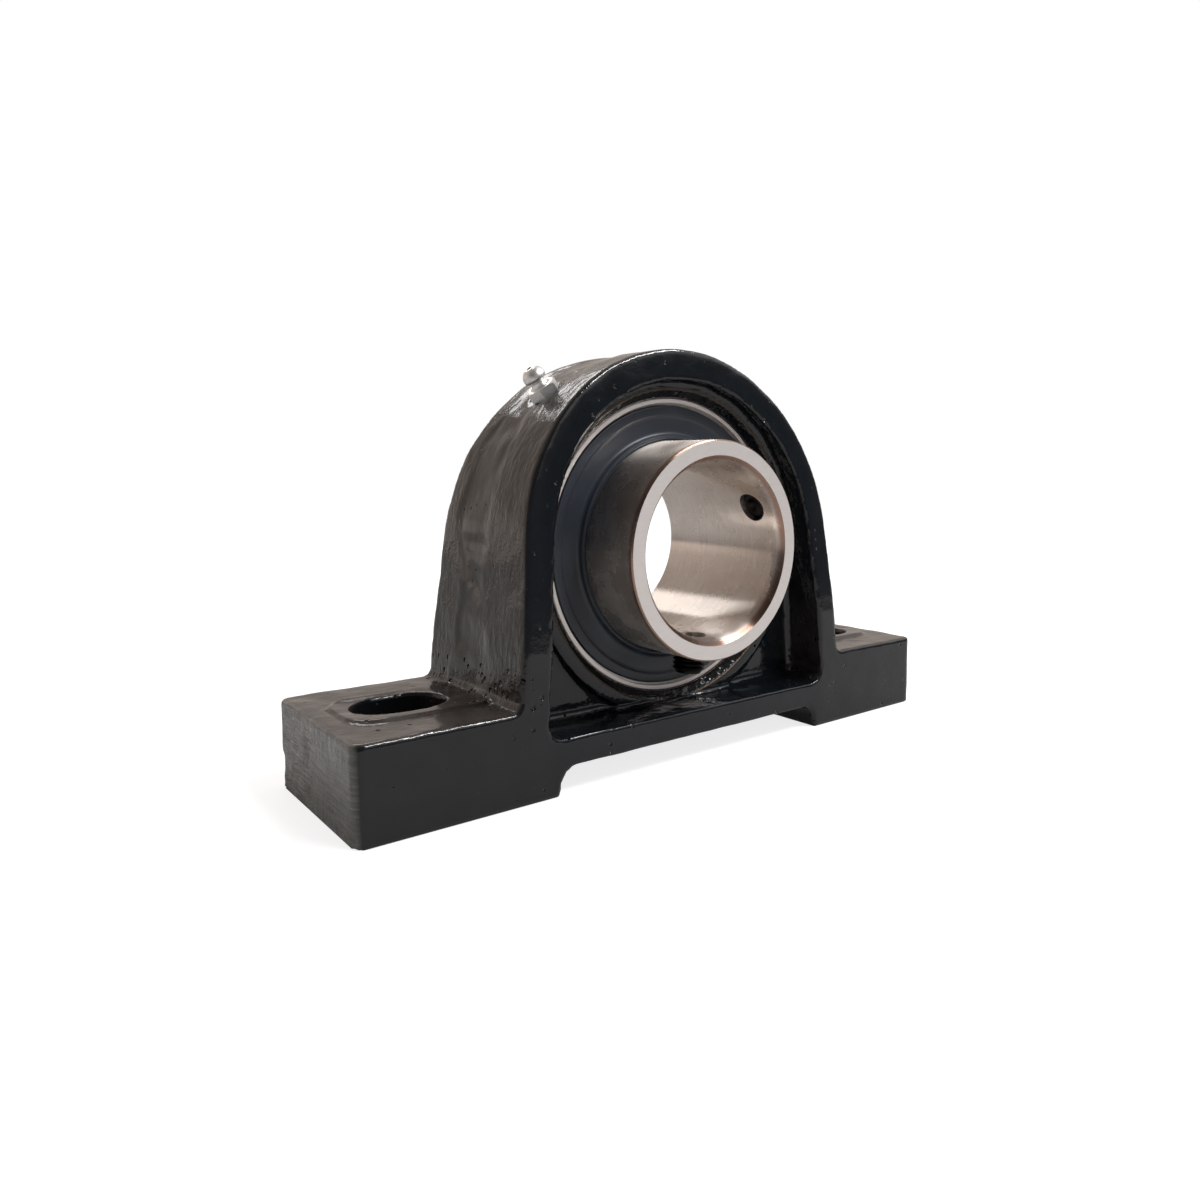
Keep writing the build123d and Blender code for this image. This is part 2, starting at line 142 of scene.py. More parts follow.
casting = bpy.data.objects.new("housing_casting", nodes["housing"].data.copy())
bpy.context.collection.objects.link(casting)
only(casting)
bpy.ops.mesh.customdata_custom_splitnormals_clear()
bpy.ops.object.mode_set(mode="EDIT")
bpy.ops.mesh.select_all(action="SELECT")
bpy.ops.mesh.remove_doubles(threshold=1e-6)
bpy.ops.object.mode_set(mode="OBJECT")
finish_with(casting, "REMESH", mode="VOXEL", voxel_size=SKIN_MESH * MM, use_smooth_shade=True)
finish_with(casting, "SMOOTH", factor=0.5, iterations=2)
finish_with(casting, "SHRINKWRAP", target=nodes["housing"], wrap_method="NEAREST_SURFACEPOINT")
finish_with(casting, "SMOOTH", factor=0.25, iterations=1)
lowest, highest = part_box("housing")
raised = [vertex.co + vertex.normal * skin_height(vertex.co / MM, vertex.normal) * MM
          for vertex in casting.data.vertices]
for vertex, place in zip(casting.data.vertices, raised):
    vertex.co = [min(max(place[axis], lowest[axis]), highest[axis]) for axis in range(3)]
casting.data.update()
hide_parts("housing")
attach(casting, "housing")


def linear(code):
    """sRGB hex colour as linear red, green, blue and alpha."""
    parts = [int(code[at:at + 2], 16) / 255 for at in (1, 3, 5)]
    return [part / 12.92 if part <= 0.04045 else ((part + 0.055) / 1.055) ** 2.4 for part in parts] + [1.0]


def add_node(tree, kind, inputs=None, **settings):
    """Adds a node, sets it up, and fills its inputs with values or with other nodes' outputs."""
    made = tree.nodes.new(kind)
    for name, value in settings.items():
        setattr(made, name, value)
    for socket, value in (inputs or {}).items():
        if isinstance(value, bpy.types.NodeSocket):
            tree.links.new(value, made.inputs[socket])
        else:
            made.inputs[socket].default_value = value
    return made


def new_finish(name):
    """New material, with its node tree and its shader."""
    material = bpy.data.materials.new(name)
    material.use_nodes = True
    return material, material.node_tree, material.node_tree.nodes["Principled BSDF"]


def set_shader(tree, shader, **values):
    """Fills the shader's inputs; an underscore in a name stands for a space."""
    for name, value in values.items():
        socket = shader.inputs[name.replace("_", " ")]
        if isinstance(value, bpy.types.NodeSocket):
            tree.links.new(value, socket)
        else:
            socket.default_value = value


def wear(piece, material):
    """Gives a piece one material."""
    piece.data.materials.clear()
    piece.data.materials.append(material)


# Black stoving enamel on cast iron: a thick dipped gloss that follows the sand's grain. Its reflections
# wobble like orange peel, pits stay open in it, thickest at the roots of the feet, and the outside of the
# arch is tinted brown-grey and duller in clouds, mostly on its sides.
ROOT_PLACE = (61.0, 26.0)   # x and z of the corner between arch and foot, where most pits are
enamel, tree, shader = new_finish("black_enamel_on_cast_iron")
spot = add_node(tree, "ShaderNodeTexCoord").outputs["Object"]
split = add_node(tree, "ShaderNodeSeparateXYZ", {"Vector": spot})
sideways = add_node(tree, "ShaderNodeMath", {0: split.outputs["X"]}, operation="ABSOLUTE").outputs["Value"]
facing = add_node(tree, "ShaderNodeNewGeometry").outputs["Normal"]
facing = add_node(tree, "ShaderNodeSeparateXYZ", {"Vector": facing})
frontal = add_node(tree, "ShaderNodeMath", {0: facing.outputs["Y"]}, operation="ABSOLUTE").outputs["Value"]
clouds = add_node(tree, "ShaderNodeTexNoise", {"Vector": spot, "Scale": 1 / (9 * MM), "Detail": 5.0,
                                               "Roughness": 0.62})
# A brown-grey tint lies in clouds on the outside, on what faces sideways and up. Little of it is on the front
# and back, and none is in the pockets.
from_axis = add_node(tree, "ShaderNodeCombineXYZ", {"X": sideways, "Z": split.outputs["Z"]})
from_axis = add_node(tree, "ShaderNodeVectorMath",
                     {0: from_axis.outputs["Vector"], 1: (0, 0, SHAFT_HEIGHT * MM)}, operation="DISTANCE")
over_arch = add_node(tree, "ShaderNodeMapRange", {"Value": from_axis.outputs["Value"], "From Min": 53 * MM,
                                                  "From Max": 55 * MM})
upper = add_node(tree, "ShaderNodeMapRange", {"Value": split.outputs["Z"], "From Min": 50 * MM,
                                              "From Max": 60 * MM})
over_arch = add_node(tree, "ShaderNodeMath", {0: over_arch.outputs["Result"], 1: upper.outputs["Result"]},
                     operation="MULTIPLY")
beside = add_node(tree, "ShaderNodeMapRange", {"Value": sideways, "From Min": 50 * MM, "From Max": 53 * MM})
outside = add_node(tree, "ShaderNodeMath", {0: over_arch.outputs["Value"], 1: beside.outputs["Result"]},
                   operation="MAXIMUM")
away_from_front = add_node(tree, "ShaderNodeMapRange", {"Value": frontal, "From Min": 0.85, "From Max": 0.45,
                                              "To Min": 0.12})
film = add_node(tree, "ShaderNodeMapRange", {"Value": clouds.outputs["Fac"], "From Min": 0.25,
                                             "From Max": 0.75, "To Min": 0.4})
brown_tint_share = add_node(tree, "ShaderNodeMath", {0: away_from_front.outputs["Result"], 1: film.outputs["Result"]},
                operation="MULTIPLY")
brown_tint_share = add_node(tree, "ShaderNodeMath", {0: brown_tint_share.outputs["Value"], 1: outside.outputs["Value"]},
                operation="MULTIPLY").outputs["Value"]
paint = add_node(tree, "ShaderNodeMix", {"Factor": film.outputs["Result"], 6: linear("#07080a"),
                                         7: linear("#14181c")}, data_type="RGBA")
tone = add_node(tree, "ShaderNodeMix", {"Factor": brown_tint_share, 6: paint.outputs[2], 7: linear("#3d3632")},
                data_type="RGBA")
dull = add_node(tree, "ShaderNodeMapRange", {"Value": brown_tint_share, "To Min": 0.07, "To Max": 0.2})
# The band along the parting line is ground smooth before painting, so the skin's grain fades there.
wander = add_node(tree, "ShaderNodeTexNoise", {"Vector": spot, "Scale": 1 / (13 * MM), "Detail": 1.0})
drift = add_node(tree, "ShaderNodeMath", {0: wander.outputs["Fac"], 1: 10 * MM, 2: split.outputs["Y"]},
                 operation="MULTIPLY_ADD").outputs["Value"]
band_from = add_node(tree, "ShaderNodeMapRange", {"Value": drift, "From Min": 1 * MM, "From Max": 4 * MM})
band_to = add_node(tree, "ShaderNodeMapRange", {"Value": drift, "From Min": 18 * MM, "From Max": 15.5 * MM})
above_feet = add_node(tree, "ShaderNodeMapRange", {"Value": split.outputs["Z"], "From Min": 28 * MM,
                                                   "From Max": 31 * MM})
band = add_node(tree, "ShaderNodeMath", {0: band_from.outputs["Result"], 1: band_to.outputs["Result"]},
                operation="MULTIPLY")
band = add_node(tree, "ShaderNodeMath", {0: band.outputs["Value"], 1: above_feet.outputs["Result"]},
                operation="MULTIPLY")
rough_skin = add_node(tree, "ShaderNodeMapRange", {"Value": band.outputs["Value"], "To Min": 1.2,
                                                   "To Max": 0.35})
upright = add_node(tree, "ShaderNodeMath", {0: frontal, 1: facing.outputs["Z"]}, operation="MAXIMUM")
calm = add_node(tree, "ShaderNodeMapRange", {"Value": upright.outputs["Value"], "From Min": 0.75,
                                             "From Max": 0.97, "To Min": 1.0, "To Max": 0.3})
skin = add_node(tree, "ShaderNodeMath", {0: rough_skin.outputs["Result"], 1: calm.outputs["Result"]},
                operation="MULTIPLY").outputs["Value"]
# Dashes of the skin run round the arch: each is about 4 mm long and 1.7 mm wide.
drawn = add_node(tree, "ShaderNodeMapping", {"Vector": spot, "Scale": (1 / 4, 1 / 1.7, 1 / 4)})
dashes = add_node(tree, "ShaderNodeTexNoise", {"Vector": drawn.outputs["Vector"], "Scale": 1 / MM,
                                               "Detail": 1.5, "Roughness": 0.4, "Distortion": 0.5})
peel = add_node(tree, "ShaderNodeBump", {"Height": dashes.outputs["Fac"], "Strength": skin,
                                         "Distance": 0.18 * MM})
grit = add_node(tree, "ShaderNodeTexNoise", {"Vector": spot, "Scale": 1 / (0.7 * MM), "Detail": 1.0})
grain = add_node(tree, "ShaderNodeBump", {"Height": grit.outputs["Fac"], "Strength": skin,
                                          "Distance": 0.05 * MM, "Normal": peel.outputs["Normal"]})
# Pits where sand stuck to the mould, up to 1.3 mm across, and up to 1.9 mm at the roots of the feet, where
# most cells have one. Their hollows get painted shade, a colour near black.
from_root = add_node(tree, "ShaderNodeCombineXYZ", {"X": sideways, "Z": split.outputs["Z"]})
from_root = add_node(tree, "ShaderNodeVectorMath", {0: from_root.outputs["Vector"],
                                                    1: (ROOT_PLACE[0] * MM, 0, ROOT_PLACE[1] * MM)},
                     operation="DISTANCE")
at_root = add_node(tree, "ShaderNodeMapRange", {"Value": from_root.outputs["Value"], "From Min": 10 * MM,
                                                "From Max": 2 * MM, "To Min": 0.0, "To Max": 0.55})
cells = add_node(tree, "ShaderNodeTexVoronoi", {"Vector": spot, "Scale": 1 / (2.6 * MM)})
chosen = add_node(tree, "ShaderNodeSeparateColor", {"Color": cells.outputs["Color"]})
likely = add_node(tree, "ShaderNodeMath", {0: chosen.outputs["Red"], 1: at_root.outputs["Result"]},
                  operation="ADD")
pit_size = add_node(tree, "ShaderNodeMapRange", {"Value": likely.outputs["Value"], "From Min": 0.6,
                                                 "From Max": 1.15, "To Min": 0.0001, "To Max": 0.36})
depth = add_node(tree, "ShaderNodeMath", {0: cells.outputs["Distance"], 1: pit_size.outputs["Result"]},
                 operation="DIVIDE")
pit = add_node(tree, "ShaderNodeMapRange", {"Value": depth.outputs["Value"], "From Min": 1.0,
                                            "From Max": 0.35}, interpolation_type="SMOOTHSTEP")
pitted = add_node(tree, "ShaderNodeBump", {"Height": pit.outputs["Result"], "Strength": 1.0,
                                           "Distance": 0.8 * MM, "Normal": grain.outputs["Normal"]},
                  invert=True)
# The ends of the feet are ground: scratches along Y, 0.9 mm apart, on the half behind the parting line.
across = add_node(tree, "ShaderNodeMapping", {"Vector": spot, "Rotation": (0.12, 0, 0),
                                              "Scale": (0.05, 0.09, 1 / 0.9)})
scratches = add_node(tree, "ShaderNodeTexNoise", {"Vector": across.outputs["Vector"], "Scale": 1 / MM,
                                                  "Detail": 3.0, "Roughness": 0.6, "Distortion": 0.8})
on_end = add_node(tree, "ShaderNodeMapRange", {"Value": sideways, "From Min": 0.1015, "From Max": 0.1025})
behind = add_node(tree, "ShaderNodeMapRange", {"Value": drift, "From Min": 1 * MM, "From Max": 8 * MM})
ground = add_node(tree, "ShaderNodeMath", {0: on_end.outputs["Result"], 1: behind.outputs["Result"]},
                  operation="MULTIPLY")
filed = add_node(tree, "ShaderNodeBump", {"Height": scratches.outputs["Fac"],
                                          "Strength": ground.outputs["Value"], "Distance": 0.9 * MM,
                                          "Normal": pitted.outputs["Normal"]})
# Rubbed with a file, the ends have lost their gloss and show grey.
crests = add_node(tree, "ShaderNodeMapRange", {"Value": scratches.outputs["Fac"], "From Min": 0.3,
                                               "From Max": 0.65, "To Min": 0.3, "To Max": 0.9})
worn = add_node(tree, "ShaderNodeMath", {0: on_end.outputs["Result"], 1: crests.outputs["Result"]},
                operation="MULTIPLY")
greyed = add_node(tree, "ShaderNodeMix", {"Factor": worn.outputs["Value"], 6: tone.outputs[2],
                                          7: linear("#7c7c78")}, data_type="RGBA")
# Painted shade: the pits' colour goes near black.
pits_painted_shade = add_node(tree, "ShaderNodeMix", {"Factor": pit.outputs["Result"], 6: greyed.outputs[2],
                                             7: linear("#020202")}, data_type="RGBA")
set_shader(tree, shader, Base_Color=pits_painted_shade.outputs[2], Roughness=dull.outputs["Result"], IOR=1.5,
           Normal=filed.outputs["Normal"])
wear(casting, enamel)

# Bored seat
# The spherical seat and its chamfer are turned in the casting after it is painted, so they are bare grey iron
# with a rust brown tinge. This ring is the front chamfer, with its crisp edges.
SEAT_EDGE = (43.5, -11.72)
SEAT_MOUTH = (46.06, -14.36)
TURN_STEPS = 256


def turned(name, profile, steps=TURN_STEPS, edge_round=0.0):
    """Ring on the shaft's axis: a circle is extruded and resized from point to point of a closed profile."""
    centre = Vector((0, 0, SHAFT_HEIGHT * MM))
    start = Vector((0, profile[0][1] * MM, SHAFT_HEIGHT * MM))
    bpy.ops.object.select_all(action="DESELECT")
    bpy.ops.mesh.primitive_circle_add(vertices=steps, radius=profile[0][0] * MM, location=start,
                                      rotation=(math.pi / 2, 0, 0))
    piece = bpy.context.object
    piece.name = name
    bpy.ops.object.transform_apply(location=True, rotation=True)
    bpy.ops.object.mode_set(mode="EDIT")
    bpy.ops.mesh.select_all(action="SELECT")
    for (radius, y), (next_radius, next_y) in zip(profile, profile[1:] + profile[:1]):
        bpy.ops.mesh.extrude_edges_move(TRANSFORM_OT_translate={"value": (0, (next_y - y) * MM, 0)})
        grow = next_radius / radius
        bpy.ops.transform.resize(value=(grow, 1, grow), center_override=centre)
    bpy.ops.mesh.select_all(action="SELECT")
    bpy.ops.mesh.remove_doubles(threshold=2e-6)
    bpy.ops.mesh.normals_make_consistent(inside=False)
    bpy.ops.object.mode_set(mode="OBJECT")
    bpy.ops.object.shade_smooth_by_angle(angle=math.radians(25))
    if edge_round:
        finish_with(piece, "BEVEL", width=edge_round * MM, segments=3, limit_method="ANGLE",
                    angle_limit=math.radians(30), harden_normals=True)
    return piece


seat_ring = turned("machined_seat", [SEAT_EDGE, SEAT_MOUTH, (46.4, -14.36), (46.4, -13.4), (44.6, -11.72)],
                   edge_round=0.08)
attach(seat_ring, "housing")

# Turned cast iron: dark grey, with fine tool marks round the axis and rust brown where it was left unoiled.
bored_iron, tree, shader = new_finish("turned_cast_iron")
spot = add_node(tree, "ShaderNodeTexCoord").outputs["Object"]
stains = add_node(tree, "ShaderNodeTexNoise", {"Vector": spot, "Scale": 1 / (5 * MM), "Detail": 3.0})
tone = add_node(tree, "ShaderNodeMix", {"Factor": stains.outputs["Fac"], 6: linear("#3f2f26"),
                                        7: linear("#6b5f57")}, data_type="RGBA")
set_shader(tree, shader, Base_Color=tone.outputs[2], Metallic=1.0, Roughness=0.42)
wear(seat_ring, bored_iron)

# Grease nipple
# Turned from free-cutting steel and zinc plated: a hexagon to screw it in by, a waist, and the ball shaped
# head that a grease gun's coupler grips. It screws into the top left of the arch.
NIPPLE_ANGLE = 130.0
NIPPLE_SEAT = 56.4          # from the shaft's axis to the hexagon's underside
NIPPLE_HEX = 8.0            # across the flats
NIPPLE_HEX_HEIGHT = 2.9
NIPPLE_PROFILE = [
    (2.9, -7.9), (2.9, 0.4), (3.1, 2.6), (3.0, 3.0), (2.5, 3.3), (2.2, 3.8), (2.15, 4.2), (2.3, 4.55),
    (2.8, 4.85), (3.1, 5.2), (3.25, 5.7), (3.25, 6.1), (3.12, 6.6), (2.85, 7.15), (2.45, 7.65), (2.0, 8.0),
    (1.8, 8.08), (1.7, 8.2), (1.65, 8.5), (0.95, 8.5), (0.9, 8.4), (0.9, 6.94), (1.2, 6.61), (1.45, 5.8),
    (1.45, -1.2), (0.9, -1.2), (0.9, -7.9)]


def place_radially(piece, angle, radius, y=0.0):
    """Moves a piece made on the shaft's axis, head towards -Y, out to a radius with its head outwards."""
    out = Vector((math.cos(math.radians(angle)), 0, math.sin(math.radians(angle))))
    centre = Vector((0, 0, SHAFT_HEIGHT * MM))
    turn = Vector((0, -1, 0)).rotation_difference(out).to_matrix().to_4x4()
    move = Matrix.Translation(centre + out * radius * MM + Vector((0, y * MM, 0)))
    piece.matrix_world = move @ turn @ Matrix.Translation(-centre)
    only(piece)
    bpy.ops.object.transform_apply(location=True, rotation=True)


nipple = turned("grease_nipple", [(radius, -height) for radius, height in NIPPLE_PROFILE], steps=64)
corner = NIPPLE_HEX / math.sqrt(3)
hexagon = turned("hexagon", [(2.0, 0), (corner, 0), (corner, -NIPPLE_HEX_HEIGHT), (2.0, -NIPPLE_HEX_HEIGHT)],
                 steps=6)
# The blank's chamfer gives the hexagon the arcs on its flats.
blank = turned("hexagon_blank", [(1.5, 0.5), (4.7, 0.5), (4.7, -2.35), (3.95, -NIPPLE_HEX_HEIGHT),
                                 (1.5, -NIPPLE_HEX_HEIGHT)], steps=64)
finish_with(hexagon, "BOOLEAN", operation="INTERSECT", solver="EXACT", object=blank)
bpy.data.objects.remove(blank)
finish_with(hexagon, "BEVEL", width=0.22 * MM, segments=3, limit_method="ANGLE", angle_limit=math.radians(30),
            harden_normals=True)
only(nipple)
hexagon.select_set(True)
bpy.ops.object.join()
place_radially(nipple, NIPPLE_ANGLE, NIPPLE_SEAT)
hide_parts("nipple_body")
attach(nipple, "housing")

# Bright zinc plate: a pale, slightly milky metal that blurs what it mirrors, with faint tumbling marks.
zinc, tree, shader = new_finish("bright_zinc_plate")
spot = add_node(tree, "ShaderNodeTexCoord").outputs["Object"]
marks = add_node(tree, "ShaderNodeTexNoise", {"Vector": spot, "Scale": 1 / (0.9 * MM), "Detail": 3.0})
tone = add_node(tree, "ShaderNodeMix", {"Factor": marks.outputs["Fac"], 6: linear("#dcdad7"),
                                        7: linear("#f6f4f2")}, data_type="RGBA")
blur = add_node(tree, "ShaderNodeMapRange", {"Value": marks.outputs["Fac"], "To Min": 0.34, "To Max": 0.5})
knocks = add_node(tree, "ShaderNodeBump", {"Height": marks.outputs["Fac"], "Strength": 0.4,
                                           "Distance": 0.05 * MM})
set_shader(tree, shader, Base_Color=tone.outputs[2], Metallic=1.0, Roughness=blur.outputs["Result"],
           Normal=knocks.outputs["Normal"])
wear(nipple, zinc)

# Outer ring
# Through-hardened bearing steel, its outside ground to a sphere so that it swivels in the seat. Its faces are
# ground flat and show as the pale ring round the flinger.
OUTER_HALF = 11.5
SPHERE_RADIUS = 45.0
SEAL_BORE = 42.2
LAND_RADIUS = 38.9
RACE_RADIUS = 6.6
OUTER_RACE_CENTRE = 34.78   # from the shaft's axis to the middle of the raceway's round section


def arc(centre_radius, ring, angles):
    """Points (radius, y) of a round section about a centre at a radius."""
    return [(centre_radius + ring * math.cos(math.radians(angle)), ring * math.sin(math.radians(angle)))
            for angle in angles]


sphere_edge = math.degrees(math.asin((OUTER_HALF - 0.25) / SPHERE_RADIUS))
race_edge = math.degrees(math.acos((LAND_RADIUS - OUTER_RACE_CENTRE) / RACE_RADIUS))
outer_profile = [(SEAL_BORE, -OUTER_HALF), (43.3, -OUTER_HALF)]
outer_profile += arc(0, SPHERE_RADIUS, [sphere_edge * step / 12 for step in range(-12, 13)])
outer_profile += [(43.3, OUTER_HALF), (SEAL_BORE, OUTER_HALF), (SEAL_BORE, 8.0), (LAND_RADIUS, 8.0)]
outer_profile += arc(OUTER_RACE_CENTRE, RACE_RADIUS, [race_edge * step / 8 for step in range(8, -9, -1)])
outer_profile += [(LAND_RADIUS, -8.0), (SEAL_BORE, -8.0)]
outer_ring = turned("outer_ring_steel", outer_profile, edge_round=0.1)
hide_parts("outer_ring")
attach(outer_ring, "outer_ring")


def ground_steel(name, pale, deep, blur, lay):
    """Bearing steel as the wheel leaves it: pale warm grey with fine marks round the shaft's axis."""
    material, tree, shader = new_finish(name)
    spot = add_node(tree, "ShaderNodeTexCoord").outputs["Object"]
    split = add_node(tree, "ShaderNodeSeparateXYZ", {"Vector": spot})
    up = add_node(tree, "ShaderNodeMath", {0: split.outputs["Z"], 1: SHAFT_HEIGHT * MM}, operation="SUBTRACT")
    flat = add_node(tree, "ShaderNodeCombineXYZ", {"X": split.outputs["X"], "Z": up.outputs["Value"]})
    out = add_node(tree, "ShaderNodeVectorMath", {0: flat.outputs["Vector"]}, operation="LENGTH")
    turn = add_node(tree, "ShaderNodeMath", {0: up.outputs["Value"], 1: split.outputs["X"]},
                    operation="ARCTAN2")
    # Marks of the wheel: long round the axis, and lay millimetres wide along it and outwards from it.
    lie = add_node(tree, "ShaderNodeCombineXYZ", {"X": turn.outputs["Value"], "Y": split.outputs["Y"],
                                                  "Z": out.outputs["Value"]})
    stretch = add_node(tree, "ShaderNodeMapping", {"Vector": lie.outputs["Vector"],
                                                   "Scale": (4.0, 1 / (lay * MM), 1 / (lay * MM))})
    marks = add_node(tree, "ShaderNodeTexNoise", {"Vector": stretch.outputs["Vector"], "Scale": 1.0,
                                                  "Detail": 3.0, "Roughness": 0.7})
    smears = add_node(tree, "ShaderNodeTexNoise", {"Vector": spot, "Scale": 1 / (9 * MM), "Detail": 3.0})
    both = add_node(tree, "ShaderNodeMath", {0: marks.outputs["Fac"], 1: smears.outputs["Fac"]},
                    operation="MULTIPLY")
    share = add_node(tree, "ShaderNodeMapRange", {"Value": both.outputs["Value"], "From Min": 0.1,
                                                  "From Max": 0.4})
    tone = add_node(tree, "ShaderNodeMix", {"Factor": share.outputs["Result"], 6: linear(deep),
                                            7: linear(pale)}, data_type="RGBA")
    # The steel is tinted brown on its last two millimetres at the front, round the mouth's edges.
    at_mouth = add_node(tree, "ShaderNodeMapRange", {"Value": split.outputs["Y"], "From Min": -30.6 * MM,
                                                     "From Max": -31.8 * MM, "To Max": 0.75})
    tone = add_node(tree, "ShaderNodeMix", {"Factor": at_mouth.outputs["Result"], 6: tone.outputs[2],
                                            7: linear("#8e5f48")}, data_type="RGBA")
    haze = add_node(tree, "ShaderNodeMapRange", {"Value": smears.outputs["Fac"], "From Min": 0.3,
                                                 "From Max": 0.7, "To Min": blur - 0.02,
                                                 "To Max": blur + 0.03})
    scored = add_node(tree, "ShaderNodeBump", {"Height": marks.outputs["Fac"], "Strength": 0.12,
                                               "Distance": 0.02 * MM})
    tangent = add_node(tree, "ShaderNodeTangent", direction_type="RADIAL", axis="Y")
    set_shader(tree, shader, Base_Color=tone.outputs[2], Metallic=1.0, Roughness=haze.outputs["Result"],
               Anisotropic=1.0, Anisotropic_Rotation=0.25, Normal=scored.outputs["Normal"],
               Tangent=tangent.outputs["Tangent"])
    return material


def wear_on_faces(piece, material):
    """Gives a turned piece a second material on its flat faces, which point along the shaft."""
    piece.data.materials.append(material)
    for polygon in piece.data.polygons:
        if abs(polygon.normal.y) > 0.97:
            polygon.material_index = 1


# Ground bearing steel: its marks run round the axis, so highlights are drawn out along the shaft.
race_steel = ground_steel("ground_bearing_steel", "#efe6e0", "#d6cac2", 0.38, 0.35)
wear(outer_ring, race_steel)

# Faces ground against a flat wheel: crossing marks scatter the light, so they look even, pale and almost
# matt.
face_steel, tree, shader = new_finish("cross_ground_steel_face")
spot = add_node(tree, "ShaderNodeTexCoord").outputs["Object"]
brushed = add_node(tree, "ShaderNodeMapping", {"Vector": spot, "Scale": (1 / 2.5, 1, 1 / 0.3),
                                               "Rotation": (0, 0.6, 0)})
lay = add_node(tree, "ShaderNodeTexNoise", {"Vector": brushed.outputs["Vector"], "Scale": 1 / MM,
                                            "Detail": 2.0})
tone = add_node(tree, "ShaderNodeMix", {"Factor": lay.outputs["Fac"], 6: linear("#f0e8e3"),
                                        7: linear("#fbf5f1")}, data_type="RGBA")
hatch = add_node(tree, "ShaderNodeBump", {"Height": lay.outputs["Fac"], "Strength": 0.3,
                                          "Distance": 0.01 * MM})
even = add_node(tree, "ShaderNodeMapRange", {"Value": lay.outputs["Fac"], "To Min": 0.5, "To Max": 0.56})
set_shader(tree, shader, Base_Color=tone.outputs[2], Metallic=1.0, Roughness=even.outputs["Result"],
           Normal=hatch.outputs["Normal"])
wear_on_faces(outer_ring, face_steel)

# Locating pin, balls and cage
# A hardened pin keeps the outer ring from turning in its seat. Ten polished balls run between the rings in a
# cage of two pressed steel ribbons, riveted together.
bright_balls, tree, shader = new_finish("polished_ball_steel")
spot = add_node(tree, "ShaderNodeTexCoord").outputs["Object"]
film = add_node(tree, "ShaderNodeTexNoise", {"Vector": spot, "Scale": 1 / (3 * MM), "Detail": 2.0})
gloss = add_node(tree, "ShaderNodeMapRange", {"Value": film.outputs["Fac"], "To Min": 0.04, "To Max": 0.14})
set_shader(tree, shader, Base_Color=linear("#e3e1de"), Metallic=1.0, Roughness=gloss.outputs["Result"])
for number in range(1, 11):
    wear(nodes[f"ball_{number:02d}"], bright_balls)
wear(nodes["nipple_ball"], bright_balls)
wear(nodes["locating_pin"], race_steel)

# Cold rolled strip, pressed: a soft grey sheen with the rolling's fine grain and a film of oil.
strip, tree, shader = new_finish("pressed_steel_strip")
spot = add_node(tree, "ShaderNodeTexCoord").outputs["Object"]
rolled = add_node(tree, "ShaderNodeMapping", {"Vector": spot, "Scale": (1 / 6, 1, 1 / 6)})
grain = add_node(tree, "ShaderNodeTexNoise", {"Vector": rolled.outputs["Vector"], "Scale": 1 / (0.5 * MM),
                                              "Detail": 3.0})
tone = add_node(tree, "ShaderNodeMix", {"Factor": grain.outputs["Fac"], 6: linear("#8f8d8a"),
                                        7: linear("#bdbab6")}, data_type="RGBA")
pressed = add_node(tree, "ShaderNodeBump", {"Height": grain.outputs["Fac"], "Strength": 0.3,
                                            "Distance": 0.02 * MM})
set_shader(tree, shader, Base_Color=tone.outputs[2], Metallic=1.0, Roughness=0.34,
           Normal=pressed.outputs["Normal"])
for name in ("cage_front", "cage_rear", "cage_rivets", "front_seal_plate", "rear_seal_plate",
             "nipple_spring"):
    wear(nodes[name], strip)

# Seals and flingers
# A pressed plate with a nitrile rubber lip closes each side of the ball track. A rubber coated flinger is
# pressed on the inner ring in front of it and keeps dirt away from the lip.
nitrile, tree, shader = new_finish("moulded_nitrile_rubber")
spot = add_node(tree, "ShaderNodeTexCoord").outputs["Object"]
matt = add_node(tree, "ShaderNodeTexNoise", {"Vector": spot, "Scale": 1 / (0.4 * MM), "Detail": 2.0})
skin = add_node(tree, "ShaderNodeBump", {"Height": matt.outputs["Fac"], "Strength": 0.4,
                                         "Distance": 0.02 * MM})
set_shader(tree, shader, Base_Color=linear("#191a1b"), Roughness=0.6, IOR=1.5, Normal=skin.outputs["Normal"])
for name in ("front_seal_lip", "rear_seal_lip"):
    wear(nodes[name], nitrile)

FLINGER_PROFILE = [
    (31.28, -10.35), (38.7, -10.35), (39.3, -10.3), (40.7, -10.3), (40.7, -9.7), (41.3, -9.7), (41.4, -9.8),
    (41.4, -10.7), (41.32, -10.88), (41.12, -10.98), (40.8, -11.0), (39.25, -11.0), (38.95, -10.97),
    (38.6, -10.72), (38.3, -10.62), (37.6, -10.56), (35.6, -10.56), (34.0, -10.6), (33.5, -10.72),
    (33.1, -11.02), (32.85, -11.4), (32.7, -11.85), (32.45, -12.1), (32.1, -12.16), (31.8, -12.05),
    (31.6, -11.7), (31.45, -11.95), (31.28, -12.0)]
front_flinger = turned("front_flinger_disc", FLINGER_PROFILE)
rear_flinger = turned("rear_flinger_disc", [(radius, -y) for radius, y in FLINGER_PROFILE])
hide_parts("front_flinger")
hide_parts("rear_flinger")

